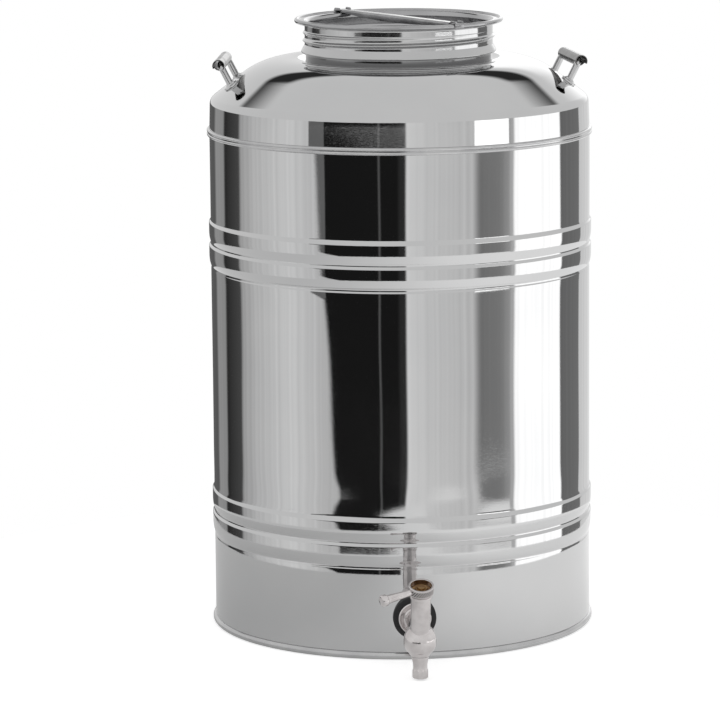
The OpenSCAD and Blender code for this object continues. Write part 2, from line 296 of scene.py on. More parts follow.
def cloud(tree, place, scale, detail=3, stretch=(1, 1, 1)):
    """Noise with features of about 1 / scale metres, stretched along the axes."""
    moved = node(tree, "ShaderNodeMapping", {"Vector": place, "Scale": stretch}).outputs["Vector"]
    made = node(tree, "ShaderNodeTexNoise", {"Vector": moved, "Scale": scale, "Detail": detail})
    return made.outputs["Fac"]


def mixed(tree, share, under, over, blend="MIX"):
    """A colour laid on another, by a share from 0 to 1."""
    made = node(tree, "ShaderNodeMix", {"Factor": share, "A": under, "B": over},
                data_type="RGBA", blend_type=blend)
    return made.outputs["Result"]


def tinted(tree, value, dark, light):
    """A colour between two colours, by a value from 0 to 1."""
    return mixed(tree, value, (*dark, 1), (*light, 1))


# Painted shade that darkens a metal: in creases, at the neck's foot, and in the ring's grooves
CREASE_SHADE = (0.05, 0.045, 0.04, 1)
SHADE = (0.06, 0.06, 0.062, 1)
GROOVE_SHADE = (0.06, 0.055, 0.05, 1)


def metal(name, dark, light, smooth, dull, patch, streak, stretch, relief, wave=0, wave_scale=60,
          crease_shade=0, foot_shade=None, grooves=None):
    """Bare metal: patches of dullness, fine streaks, and a slow wave where it was cast or pressed.

    Painted shade darkens its creases and darkens it below a height range, in metres, and grooves is a
    function that makes a share of painted shade from the tree and the object's coordinates.
    """
    made, tree, bsdf, place = shader(name)
    patches = cloud(tree, place, patch, 4)
    streaks = cloud(tree, place, streak, 2, stretch)
    bsdf.inputs["Metallic"].default_value = 1
    colour = tinted(tree, ranged(tree, patches, 0.3, 0.7, 0, 1), dark, light)
    # Painted shade: darker where the surface folds inwards, in creases and hollows
    if crease_shade:
        crease = node(tree, "ShaderNodeNewGeometry").outputs["Pointiness"]
        colour = mixed(tree, ranged(tree, crease, 0.36, 0.49, crease_shade, 0), colour, CREASE_SHADE)
    # Painted shade: darker below a height, as at the neck's foot
    if foot_shade:
        height = node(tree, "ShaderNodeSeparateXYZ", {"Vector": place}).outputs["Z"]
        colour = mixed(tree, ranged(tree, height, *foot_shade, 0.75, 0), colour, SHADE)
    # Painted shade in the grooves that the function marks
    if grooves:
        colour = mixed(tree, grooves(tree, place), colour, GROOVE_SHADE)
    tree.links.new(colour, bsdf.inputs["Base Color"])
    tree.links.new(ranged(tree, patches, 0.42, 0.75, smooth, dull), bsdf.inputs["Roughness"])
    relief_node = node(tree, "ShaderNodeBump", {
        "Height": streaks, "Strength": relief, "Distance": 0.0002})
    normal = relief_node.outputs["Normal"]
    if wave:
        waves = cloud(tree, place, wave_scale, 1)
        normal = node(tree, "ShaderNodeBump", {
            "Height": waves, "Strength": wave, "Distance": 0.001, "Normal": normal}).outputs["Normal"]
    tree.links.new(normal, bsdf.inputs["Normal"])
    return made


def knurl_shade(tree, place):
    """Painted shade in the slanting grooves of the tap's ring."""
    calc = partial(math_node, tree)
    own = node(tree, "ShaderNodeMapping", {
        "Vector": place, "Location": (0, tap_y * MM, bulb_z * MM), "Rotation": (lean, 0, 0)},
        vector_type="TEXTURE").outputs["Vector"]
    axes = node(tree, "ShaderNodeSeparateXYZ", {"Vector": own}).outputs
    up = calc(calc(axes["Z"], 1 / MM), ring_z - bulb_z, "SUBTRACT")
    across = calc(calc(axes["X"], axes["X"]), calc(axes["Y"], axes["Y"]), "ADD")
    turn = calc(calc(axes["Y"], axes["X"], "ARCTAN2"), KNURLS)
    wave = calc(calc(calc(turn, calc(up, KNURL_SLANT), "SUBTRACT"), 0, "SINE"), 0, "ABSOLUTE")
    band = calc(ranged(tree, up, 1, 1.5, 0, 1), ranged(tree, up, ring_h - 1.7, ring_h - 2.2, 0, 1))
    outside = ranged(tree, across, ((ring_r - 1.6) * MM) ** 2, ((ring_r - 1.4) * MM) ** 2, 0, 1)
    return calc(calc(band, outside), ranged(tree, wave, 0.9, 0.55, 0, 0.97))


def rubber(name, tone, rough, mottle):
    """Moulded rubber or plastic with a fine mottle."""
    made, tree, bsdf, place = shader(name)
    patches = cloud(tree, place, 400, 3)
    bsdf.inputs["Specular IOR Level"].default_value = 0.3
    dark = tuple(c * (1 - mottle) for c in tone)
    light = tuple(c * (1 + mottle) for c in tone)
    tree.links.new(tinted(tree, patches, dark, light), bsdf.inputs["Base Color"])
    tree.links.new(ranged(tree, patches, 0.3, 0.7, rough - 0.08, rough + 0.08),
                   bsdf.inputs["Roughness"])
    bump = node(tree, "ShaderNodeBump", {
        "Height": cloud(tree, place, 1500, 2), "Strength": 0.2, "Distance": 0.0002})
    tree.links.new(bump.outputs["Normal"], bsdf.inputs["Normal"])
    return made


AROUND = (1, 1, 14)
# Heights over which the painted shade at the neck's foot fades out
NECK_FOOT = ((crown_z + 3) * MM, (crown_z + 7.5) * MM)
polished = metal("polished_steel", (0.57, 0.572, 0.575), (0.6, 0.6, 0.6), 0.03, 0.06, 7, 220,
                 AROUND, 0.02)
pressed = metal("pressed_steel", (0.54, 0.542, 0.545), (0.59, 0.59, 0.59), 0.06, 0.12, 9, 260,
                AROUND, 0.04)
# The neck's steel gets painted shade in its creases and at its foot
neck_steel = metal("neck_steel", (0.5, 0.502, 0.505), (0.55, 0.55, 0.55), 0.07, 0.13, 9, 260,
                   AROUND, 0.04, crease_shade=0.5, foot_shade=NECK_FOOT)
lid_steel = metal("lid_steel", (0.36, 0.36, 0.365), (0.46, 0.46, 0.465), 0.09, 0.18, 14, 300,
                  AROUND, 0.06, 0.03, 60)
bar_steel = metal("bar_steel", (0.27, 0.27, 0.275), (0.4, 0.4, 0.405), 0.12, 0.25, 30, 420,
                  (1, 1, 6), 0.08, 0.05, 90)
turned_steel = metal("turned_steel", (0.48, 0.48, 0.485), (0.57, 0.57, 0.57), 0.1, 0.2, 25, 420,
                     AROUND, 0.08, 0.03, 70)
grip_steel = metal("grip_steel", (0.11, 0.108, 0.106), (0.2, 0.197, 0.194), 0.16, 0.3, 60, 500,
                   (1, 0.1, 1), 0.1, 0.05, 90)
# The tap's chrome gets painted shade in its creases
chrome = metal("tap_chrome", (0.55, 0.52, 0.515), (0.72, 0.69, 0.685), 0.08, 0.18, 50, 700,
               (1, 1, 1), 0.05, 0.2, 110, crease_shade=0.9)
# The ring's chrome gets painted shade in its grooves
knurled_chrome = metal("knurled_chrome", (0.57, 0.54, 0.535), (0.7, 0.67, 0.665), 0.13, 0.24, 50, 700,
                       (1, 1, 1), 0.05, grooves=knurl_shade)
brass = metal("tap_brass", (0.2, 0.11, 0.05), (0.4, 0.26, 0.12), 0.28, 0.5, 150, 900,
              (1, 1, 1), 0.2)
black_rubber = rubber("black_rubber", (0.018, 0.018, 0.019), 0.5, 0.3)
ptfe = rubber("ptfe", (0.72, 0.71, 0.68), 0.4, 0.06)


# ---------------------------------------------------------------- drum

def bead(down):
    """How far a bead stands out, by the way down from its top: a step, a flat and a long curve."""
    step, flat, end = 3.2, 11, 26.3
    curve = np.clip((down - flat) / (end - flat), 0, 1) ** 3
    return bead_out * smooth_step(down, 0, step) * (1 - curve)


def wall_radius(z):
    """The wall's outer radius, with its beads and a slight valley under each pair."""
    out = sum(bead(foot + bead_h - z) for foot in bead_foots)
    for foot in bead_foots[::2]:
        valley = smooth_step(z, foot - 3, foot - 0.5) * (1 - smooth_step(z, foot + 1, foot + 3))
        out = out - 0.25 * valley
    return wall_r + out


def ripple(r, z, angle):
    """Slow waves of a tenth of a millimetre in rolled sheet, and tighter ones above the lower beads."""
    waves = (np.sin(3 * angle + z / 70 + 0.7) + np.sin(5 * angle - z / 43 + 2.1)
             + np.sin(11 * angle + z / 31 + 4.0) * 0.4 + np.sin(2 * angle - z / 120 + 1.3))
    band = np.exp(-((z - bead_foots[1] - bead_h - 16) / 15) ** 2)
    return r + 0.07 * waves + 0.25 * band * np.sin(11 * angle + 1.0)


def tap_dent(r, z, angle):
    """Ripples, and the dent where the tap's nut draws the sheet in and flattens it round the tap."""
    across = wall_r * (angle - 3 * math.pi / 2)
    return ripple(r, z, angle) - 1.0 * np.exp(-(across / 24) ** 2 - ((z - shank_z - 45) / 65) ** 2)


def drum_wall():
    """The rolled sheet with its beads, and the hole for the tap."""
    heights = set(np.arange(wall_z, seam_z, 10)) | {seam_z}
    for foot in bead_foots:
        heights |= set(np.linspace(foot - 3, foot + bead_h, 45))
    outer = [(float(wall_radius(z)), z) for z in sorted(heights)]
    made = piece("drum_wall", [turned(outer + inward(outer, sheet), shape=tap_dent)], polished,
                 "drum", ["body_shell"])
    hole = on_shank(rod(shank_r + 0.3, 0, 30, 96), -wall_r - 15)
    cutter = piece("tap_hole", [hole], polished, "drum")
    cut = made.modifiers.new("tap_hole", "BOOLEAN")
    cut.object = cutter
    cut.operation = "DIFFERENCE"
    cut.solver = "EXACT"
    settled(made)
    made.data.set_sharp_from_angle(angle=math.radians(38))
    bpy.data.objects.remove(cutter)


def drum_bottom():
    """The dished bottom, its rim turned up inside the wall."""
    floor = edge("bottom_plate", LOW, "z")
    inner = wall_r - sheet - 0.05
    top = [(0, floor + 3), (60, floor + 2.9), (120, floor + 2.4), (170, floor + 1)]
    top += arc((inner - 5, floor + 5), 4, -90, 0, 8) + [(inner - 1, floor + 14)]
    under = arc((inner - 5, floor + 5), 5, 0, -90, 8) + [(170, floor), (120, floor + 1.4)]
    under += [(60, floor + 1.9), (0, floor + 2)]
    piece("drum_bottom", [turned(top + [(inner, floor + 14)] + under, 360)], pressed,
          "drum", ["bottom_plate"])


def foot_roll_ring():
    """The rolled edge that the drum stands on, flat where it meets the floor."""
    flat = math.degrees(math.asin(foot_at[1] / foot_roll))
    profile = arc(foot_at, foot_roll, -flat, 180 + flat, 40)
    piece("foot_roll", [turned(profile)], turned_steel, "drum", ["foot_ring"])


def seam_fold():
    """The folded seam between wall and shoulder: two small rolls."""
    profile = [(wall_r + 0.05, seam_z - 4.3)]
    profile += arc((wall_r + 0.9, seam_z - 2.2), 2, -90, 55, 12)
    profile += arc((wall_r + 0.9, seam_z + 2.2), 2, -55, 90, 12)
    profile += [(wall_r + 0.05, seam_z + 4.3)]
    piece("seam_fold", [turned(profile)], turned_steel, "drum", ["seam_hoop"])


def shoulder():
    """The pressed shoulder, from the seam up to the neck."""
    outer = line((wall_r, seam_z), (wall_r - 1, knuckle_z), 6)
    outer += arc((knuckle_x - 1, knuckle_z), knuckle_r, 0, 90 - slope_a, 24)
    knuckle_top = outer[-1]
    outer += line(knuckle_top, slope_top, 8)[1:]
    crown_end = 90 + math.degrees(math.asin((crown_at[0] - neck_r) / crown_r))
    outer += arc(crown_at, crown_r, 90 - slope_a, crown_end, 40)
    inner = [(r - sheet * 0.6, z - sheet * 0.8) for r, z in reversed(outer[6:])]
    inner += [(wall_r - sheet, z) for r, z in reversed(outer[:6])]
    piece("shoulder_dome_skin", [turned(outer + inner, shape=ripple)], polished,
          "drum", ["shoulder_dome"])


def ridge(z, angle, low, high):
    """Share of the thread's height: a narrow right-hand ridge that fades at both ends."""
    turn = (z - thread_low) / pitch - angle / (2 * math.pi) + 0.25
    fade = smooth_step(z, low, low + 4) * (1 - smooth_step(z, high - 4, high))
    return (0.5 - 0.5 * np.cos(2 * math.pi * turn)) ** 2.5 * fade


def neck():
    """The neck, with a bead at its foot, a rolled thread and a lip."""
    outer = line((neck_r, crown_z - 8), (neck_r, neck_bead_z - 3), 2) + [(neck_r, neck_bead_z - 3)]
    outer += arc((neck_r + 1, neck_bead_z - 1.5), 1, 180, 100, 5)
    outer += arc((neck_r + 3.6, neck_bead_z + 0.5), 1.4, -75, 10, 8)
    outer += line((neck_r + 4.9, neck_bead_z + 1.6), (thread_r, thread_low + 3), 8)
    outer += line((thread_r, thread_low + 3), (thread_r, thread_high), 64)
    outer += arc((thread_r + 2.4, lip_z - 3.4), 2.4, 180, 90, 6)
    outer += arc((lip_r - 0.5, lip_z - 0.5), 0.5, -90, 90, 6)
    inner = arc((thread_r + 2.4, lip_z - 3.4), 3.4, 90, 180, 8)
    inner += [(r - sheet, z) for r, z in reversed(outer[:-14])]

    def shape(r, z, angle):
        threaded = (z > thread_low + 3) & (z < thread_high)
        return r + thread_h * ridge(z, angle, thread_low + 4, thread_high - 5) * threaded

    piece("neck_thread", [turned(outer + inner, 540, shape)], neck_steel,
          "drum", ["neck_ring"])


# ---------------------------------------------------------------- lid

def seal():
    """The rubber ring between lip and lid."""
    r_in, r_out = thread_r + 1.6, lip_r - 0.1
    bottom = flange_z - 2
    profile = [(r_in, bottom), (r_out - 0.5, bottom)]
    profile += arc((r_out - 1, bottom + 1), 1, -60, 60, 10)
    profile += [(r_out - 0.5, flange_z), (r_in, flange_z)]
    piece("seal_ring", [turned(profile, 360)], black_rubber, "lid_seal", ["lid_seal"])


def lid():
    """A pan with a flared, rolled edge and the neck's thread pressed into its wall."""
    floor = [(r, pan_floor + 2 * float(1 - smooth_step(r, 84, 90)) + 1 * (1 - min(r, 84) / 84))
             for r in (0, 20, 40, 60, 75, 84, 85, 86, 87, 88, 89, 90, 95)]
    top = [(r, z + 1) for r, z in floor] + arc((pan_r - 4, pan_floor + 4), 3, -90, 0, 10)
    top += line((pan_r - 1, pan_floor + 4), (pan_r - 1, flange_z - 5), 6)[1:]
    top += arc((pan_r + 5, flange_z - 5), 6, 180, 90, 16)
    over = math.degrees(math.asin(0.7 / lid_roll))
    under = math.degrees(math.asin(0.3 / lid_roll))
    top += arc(roll_at, lid_roll, 180 - over, -180 + under, 40)
    low = line((roll_at[0] - 3, flange_z), (pan_r + 5, flange_z), 3)
    low += arc((pan_r + 5, flange_z - 5), 5, 90, 180, 12)
    low += line((pan_r, flange_z - 5), (pan_r, pan_floor + 4), 30)[1:]
    low += arc((pan_r - 4, pan_floor + 4), 4, 0, -90, 10) + list(reversed(floor))

    def shape(r, z, angle):
        wall = (abs(r - pan_r) < 0.01) & (z < flange_z - 5) & (z > pan_floor + 4)
        return r + 1.2 * ridge(z, angle, pan_floor + 4, flange_z - 5) * wall

    piece("lid_pan_skin", [turned(top + low, 540, shape)], lid_steel, "lid",
          ["lid_pan"])


def along_bar(part, turn=0):
    """A part whose X runs along the lid's bar."""
    angle = math.radians(bar_angle + turn)
    c, s = math.cos(angle), math.sin(angle)
    return placed(part, (0, 0, 0), (c, s, 0), (-s, c, 0), (0, 0, 1))


def grip_bar():
    """A channel, open below, deeper in its middle."""
    reach = pan_r - 2.5
    thick = 1.2
    sections = []
    for x in np.concatenate([[-bar_end], np.linspace(-reach, reach, 41), [bar_end]]):
        deep = flange_z + 1 - 4.5 * max(0, 1 - (x / reach) ** 2)
        half = bar_w / 2
        outline = [(-half, deep)] + arc((-half + 1.8, bar_top - 1.8), 1.8, 180, 90, 5)
        outline += arc((half - 1.8, bar_top - 1.8), 1.8, 90, 0, 5) + [(half, deep)]
        inner = [(half - thick, deep)] + arc((half - 2, bar_top - 2), 0.8, 0, 90, 4)
        inner += arc((-half + 2, bar_top - 2), 0.8, 90, 180, 4) + [(-half + thick, deep)]
        sections.append([(x, y, z) for y, z in outline + inner])
    bar = surface(np.array(sections), False, True, caps=True)
    piece("lid_grip_bar", [along_bar(bar)], bar_steel, "lid", ["lid_bar"])


def lid_clips():
    """A strip folded over the rolled edge at each end of the bar, with two upright ears."""
    top = roll_at[1] + lid_roll + 0.1
    out = roll_at[0] + lid_roll + 0.1
    inside = bar_end + 0.6
    strip = [(inside, top), (out - 0.4, top), (out, top - 0.4), (out, top - 5), (out + 1.2, top - 5)]
    strip += arc((out, top), 1.2, 0, 90, 5) + [(inside, top + 1.2)]
    ear = [(inside, top + 1.2), (out + 0.6, top + 1.2), (out - 0.2, top + 2.6), (out - 1, top + 3.2),
           (inside + 2, top + 3.2), (inside + 0.6, top + 2.4)]

    def bent(outline, start, end, steps):
        turns = np.radians(np.linspace(start, end, steps + 1))
        points = [[(r * math.cos(t), r * math.sin(t), z) for r, z in outline] for t in turns]
        return surface(np.array(points), False, True, caps=True)

    parts = []
    for turn, half in ((0, 2.8), (180, 4.2)):
        shapes = [bent(strip, -half, half, 10)]
        shapes += [bent(ear, start, start + 0.7, 2) for start in (-half, half - 0.7)]
        parts += [along_bar(part, turn) for part in shapes]
    piece("lid_clips", parts, bar_steel, "lid", ["lid_bar_clips"], bevel=0.2)


# ---------------------------------------------------------------- handles

def slope_height(points):
    """How far points are above the shoulder's slope."""
    r = np.hypot(points[..., 0], points[..., 1])
    return (points[..., 2] - slope_top[1]) * slope_cos + (r - slope_top[0]) * slope_sin


foot_up = slope_top[1] - (math.hypot(foot_x, bail_half) - slope_top[0]) * slope_sin / slope_cos
UP = np.array([math.sin(bail_lean), 0, math.cos(bail_lean)])
OUT = np.array([math.cos(bail_lean), 0, -math.sin(bail_lean)])
ALONG = np.array([0.0, 1.0, 0.0])


def from_handle(points, side):
    """Points whose X runs along the grip, Y up the legs and Z outwards, moved to a handle."""
    points = np.asarray(points, float)
    world = (np.array([foot_x, 0, foot_up]) + points[..., :1] * ALONG + points[..., 1:2] * UP
             + points[..., 2:] * OUT)
    c, s = math.cos(handle_turn), math.sin(handle_turn)
    return world @ np.array([[c, s, 0], [-s, c, 0], [0, 0, 1]]) * np.array([side, 1, 1])


def down_to(x, z, height):
    """How far up the leg the lines at (x, z) are at a height above the shoulder."""
    low, high = np.full(np.shape(x), -30.0), np.full(np.shape(x), 30.0)
    for _ in range(40):
        middle = (low + high) / 2
        above = slope_height(from_handle(np.stack([x, middle, z], -1), 1)) > height
        low, high = np.where(above, low, middle), np.where(above, middle, high)
    return (low + high) / 2


def bail(side, name):
    """A bent round bar, its ends cut to the shoulder's slope."""
    top = leg_h - bail_corner
    path = [(-bail_half, y, 180) for y in np.linspace(-6, top, 8)[:-1]]
    path += [(-bail_half + bail_corner + bail_corner * math.cos(t), top + bail_corner * math.sin(t),
              math.degrees(t)) for t in np.radians(np.linspace(180, 90, 11))]
    path += [(-x, y, 180 - a) for x, y, a in reversed(path)]
    turn = np.radians(np.arange(32) * 360 / 32)
    rings = []
    for x, y, a in path:
        way = (math.cos(math.radians(a)), math.sin(math.radians(a)))
        rings.append(np.stack([x + bail_r * np.cos(turn) * way[0], y + bail_r * np.cos(turn) * way[1],
                               bail_r * np.sin(turn)], -1))
    for ring in (rings[0], rings[-1]):
        ring[:, 1] = down_to(ring[:, 0], ring[:, 2], -0.5)
    points, faces = surface(np.array(rings), False, True, caps=True)
    piece(f"bail_{name}", [(from_handle(points, side), faces)], turned_steel, "drum",
          [f"handle_bail_{name}"])


def pads(side, name):
    """A round pad under each leg, with the weld's collar swelling round the bar."""
    turn = np.radians(np.arange(72) * 5)
    radii = [bail_r + 0.05, bail_r + 0.5, bail_r + 1, bail_r + 1.5, bail_r + 1.9, bail_r + 2.3,
             bail_r + 3, bail_r + 4, 8.2, 8.6, 8.9, 9.0, 9.0, bail_r + 0.05]
    heights = [4.0, 3.9, 3.6, 3.0, 2.5, 2.2, 2.05, 2.0, 1.95, 1.8, 1.4, 0.9, 0.02, 0.02]
    parts = []
    for end in (-1, 1):
        rings = []
        for radius, height in zip(radii, heights):
            lumps = 1 + 0.05 * np.sin(7 * turn + end) + 0.04 * np.sin(12 * turn)
            x = end * bail_half + radius * np.cos(turn)
            z = radius * np.sin(turn)
            up = height * (lumps if 2.3 < height < 3.95 else 1)
            rings.append(np.stack([x, down_to(x, z, up), z], -1))
        points, faces = surface(np.array(rings), True, True)
        parts.append((from_handle(points, side), faces))
    piece(f"pads_{name}", parts, turned_steel, "drum", [f"handle_feet_{name}"])


def grip(side, name):
    """A tube rolled round the bar, with a slot below that opens where the legs come out."""
    sections = []
    for x in np.concatenate([np.linspace(-grip_half, -30, 22), np.linspace(-22, 22, 9),
                             np.linspace(30, grip_half, 22)]):
        wide = float(smooth_step(abs(x), 32, 38))
        inner_gap = 8 + 80 * wide
        outer_gap = 8 + 14 * wide
        ends = 0.25 * float(smooth_step(abs(x), grip_half - 0.5, grip_half))
        outline = arc((leg_h, grip_shift), grip_r - ends, 180 + outer_gap, 540 - inner_gap, 40)
        outline += arc((leg_h, grip_shift), grip_r - grip_wall + ends, 540 - inner_gap,
                       180 + outer_gap, 40)
        sections.append([(x, y, z) for y, z in outline])
    points, faces = surface(np.array(sections), False, True, caps=True)
    piece(f"grip_{name}", [(from_handle(points, side), faces)], grip_steel, "drum",
          [f"handle_grip_{name}"])


# ---------------------------------------------------------------- tap

def gasket():
    """The rubber ring under the tap's disc. Its back follows the wall."""
    r_in, r_out = shank_r + 0.1, 25
    profile = [(r_in, 0), (r_out - 2.2, 0)] + arc((r_out - 1.2, 1.2), 1.2, -90, 0, 6)[1:]
    profile += [(r_out, 6), (r_out - 4, 6), (r_in, 6)]
    points, faces = on_shank(turned(profile, 180), flange_y)
    wall = -np.sqrt((wall_r + 0.1) ** 2 - points[:, 0] ** 2)
    back = points[:, 1] > flange_y + 5.9
    points[back, 1] = wall[back]
    piece("tap_gasket", [(points, faces)], black_rubber, "drum",
          ["tap_outer_gasket"])


def tap_disc():
    """The chrome disc: a dished face inside a rounded rim."""
    outer = 19
    hole_r = shank_r + 0.05
    profile = [(hole_r, 2.0), (14.5, 1.8), (outer - 3, 1.6), (outer - 2.4, 1.3)]
    profile += arc((outer - 1.4, 2.2), 1.4, -120, 0, 8) + [(outer, 4.6), (outer - 0.4, 5)]
    profile += [(hole_r, 5)]
    piece("tap_disc", [on_shank(turned(profile, 240), flange_y - 5)], chrome, "drum",
          ["tap_flange"])


def tap_casting():
    """Bulb, barrel and shank, cast in one, with soft fillets where they meet."""
    bulb_r, bulb_low, bulb_up, power = 18.8, 16, 22, 2.3
    skin = [(0, body_z), (9.9, body_z)]
    skin += [(bulb_r * math.sin(t), bulb_z - bulb_low * math.cos(t))
             for t in np.radians(np.linspace(45, 90, 16))]
    heights = np.linspace(0, bulb_up, 60)[1:]
    skin += [(bulb_r * (1 - (h / bulb_up) ** power) ** (1 / power), bulb_z + h) for h in heights]
    high = gland_z - 0.02
    parts = [on_tap(turned(skin, 180)),
             on_barrel(rod(barrel_r, bulb_z, high)),
             on_shank(rod(shank_r - 2.2, 0, 90), tap_y),
             on_shank(rod(shank_r, 0, 38), flange_y - 5)]
    made = piece("tap_casting", parts, chrome, "drum", ["tap_body"])
    joined = made.modifiers.new("joined", "REMESH")
    joined.mode = "VOXEL"
    joined.voxel_size = 0.45 * MM
    soft = made.modifiers.new("soft", "SMOOTH")
    soft.iterations = 8
    settled(made)
    made.data.shade_smooth()


def spout():
    """The spout's tube, flared towards the bulb, with ribs round its open end."""
    bore = 6
    outer = [(7.6, spout_z), (8.2, spout_z + 0.6)]
    outer += line((8.2, spout_z + 0.6), (8.2, spout_z + 14), 26)
    outer += [(8.2 + 1.7 * float(smooth_step(z, 15, 25)), spout_z + z) for z in range(14, 25)]
    outer += [(9.9, body_z)]
    inner = [(bore, body_z), (bore, spout_z + 12), (bore, spout_z + 0.5), (bore + 0.5, spout_z)]

    def shape(r, z, angle):
        ribs = 0.5 + 0.5 * np.cos(10 * angle)
        share = (1 - smooth_step(z, spout_z + 8.5, spout_z + 11.5)) * (r > 7)
        return r + 0.8 * ribs ** 1.5 * share

    piece("spout", [on_tap(turned(outer + inner, 240, shape))], chrome, "drum",
          ["spout_tip"])


def gland():
    """The ring that closes the barrel: a proud band and a narrower one."""
    r = barrel_r
    profile = [(4.6, gland_z)] + arc((r + 0.5, gland_z + 0.9), 0.9, -90, 0, 6)
    profile += arc((r + 0.5, gland_z + 3.4), 0.9, 0, 90, 6)
    profile += [(r + 0.1, gland_z + 4.6)] + arc((r - 0.1, gland_z + 5.5), 0.7, -90, 90, 8)
    profile += [(4.6, gland_z + 6.2)]
    piece("gland_ring", [on_barrel(turned(profile, 240))], chrome, "drum",
          ["tap_gland"])


def knurled_ring():
    """The lever's ring, open above, with slanting grooves round it."""
    high = ring_h
    outer = [(4.6, 0), (ring_r - 1.4, 0)] + arc((ring_r - 0.9, 0.9), 0.9, -90, 0, 5)
    outer += line((ring_r, 0.9), (ring_r, high - 1.6), 40)
    outer += arc((ring_r - 0.7, high - 0.9), 0.9, 30, 90, 4)
    outer += arc((ring_r - 1.6, high - 0.6), 0.6, 90, 180, 4)
    outer += [(ring_r - 2.2, 3.2), (ring_r - 2.6, 2.4), (4.6, 2.4)]

    def shape(r, z, angle):
        knurled = smooth_step(z, 0.9, 1.6) * (1 - smooth_step(z, high - 2.4, high - 1.7))
        knurled = knurled * (r > ring_r - 0.1)
        groove = 1 - np.abs(np.sin(KNURLS * angle - z * KNURL_SLANT))
        return r - 0.7 * knurled * groove ** 1.5

    piece("knurled_ring", [on_barrel(turned(outer, 588, shape), ring_z)], knurled_chrome, "tap_rotor",
          ["tap_cap_ring"])


def stem():
    """The washer and nut inside the ring."""
    washer = [(4.6, 0), (ring_r - 3, 0), (ring_r - 3, 0.8), (4.6, 0.8)]
    piece("stem_washer_ring", [on_barrel(turned(washer, 96), ring_z + 2.4)], brass, "tap_rotor",
          ["stem_washer"])

    def hexagon(r, z, angle):
        flat = math.radians(60)
        limit = 6.5 / np.cos((angle % flat) - flat / 2)
        return np.minimum(r, limit) + 0 * angle

    nut = [(4.6, 0), (7.5, 0), (7.5, 2.4), (6.6, 3.2), (5.2, 3.2), (4.6, 2.8)]
    piece("stem_nut_hex", [on_barrel(turned(nut, 144, hexagon), ring_z + 3.2)], brass, "tap_rotor",
          ["stem_nut"])


def lever():
    """A round bar that widens outwards and ends in a flared knob."""
    knob = 8
    root = ring_r - 0.8
    neck_at = lever_end - knob
    outline = [(0, root), (3.6, root)]
    outline += [(3.6 + 1.6 * (i / 20) ** 1.3, root + (neck_at - root) * i / 20) for i in range(1, 21)]
    outline += [(6.6, neck_at + 1.3), (6.8, neck_at + 1.8), (6.8, lever_end - 2)]
    outline += [(6.6, lever_end - 1.5), (5.6, lever_end - 0.4), (5.1, lever_end - 0.1), (0, lever_end)]
    angle = math.radians(lever_angle)
    c, s = math.cos(angle), math.sin(angle)
    bar = placed(turned(outline, 96), (0, 0, 0), (-s, c, 0), (0, 0, 1), (c, s, 0))
    piece("lever_bar", [on_barrel(bar, lever_z)], chrome, "tap_rotor", ["tap_lever"])


# ---------------------------------------------------------------- stage

# Distances of the camera and of its aim in metres, and its roll in radians
VIEW_AZIMUTH = math.radians(-3.5)
VIEW_AWAY, VIEW_UP = 4.89, 1.154
VIEW_ROLL = -0.0085
AIM_RIGHT, AIM_UP = -0.0489, 0.3127
TOWARD = Vector((math.sin(VIEW_AZIMUTH), -math.cos(VIEW_AZIMUTH), 0))
RIGHT = Vector((math.cos(VIEW_AZIMUTH), math.sin(VIEW_AZIMUTH), 0))


def camera():
    """A long lens, a little above the drum, with the drum right of the middle."""
    lens = bpy.data.cameras.new("view")
    lens.lens = 207.4
    lens.sensor_width = 36
    made = bpy.data.objects.new("view", lens)
    bpy.context.scene.collection.objects.link(made)
    made.location = TOWARD * VIEW_AWAY + Vector((0, 0, VIEW_UP))
    aim = RIGHT * AIM_RIGHT + Vector((0, 0, AIM_UP))
    level = (aim - made.location).to_track_quat("-Z", "Y")
    made.rotation_euler = (level @ Quaternion((0, 0, 1), VIEW_ROLL)).to_euler()
    bpy.context.scene.camera = made


STEEL_REFLECTS = 0.585


def linear(value):
    """A display tone from 0 to 1 as light, brightened by what the steel swallows."""
    return value ** 2.2 / STEEL_REFLECTS


# The studio round the drum: angles to the right of the camera, in degrees, and tones. Two angles
# close together are a hard edge.
PANELS = [(-180, 0.3), (-152, 0.3), (-148, 0.5), (-134, 0.5), (-132, 0.16), (-126, 0.2),
          (-114, 0.26), (-112, 0.57), (-98, 0.67), (-70, 0.75), (-53, 0.7), (-50, 0.68), (-38, 0.66),
          (-37.5, 0.12), (-26, 0.1), (-13, 0.09), (-12.5, 0.38), (-11.5, 0.14), (1, 0.17), (3.2, 0.18),
          (4, 0.77), (18, 0.72), (44, 0.69), (49, 0.42), (62, 0.44), (69, 0.54), (70, 0.62),
          (71.5, 0.56), (73.5, 1.0), (112.5, 1.0), (113.5, 0.38), (138, 0.4)]


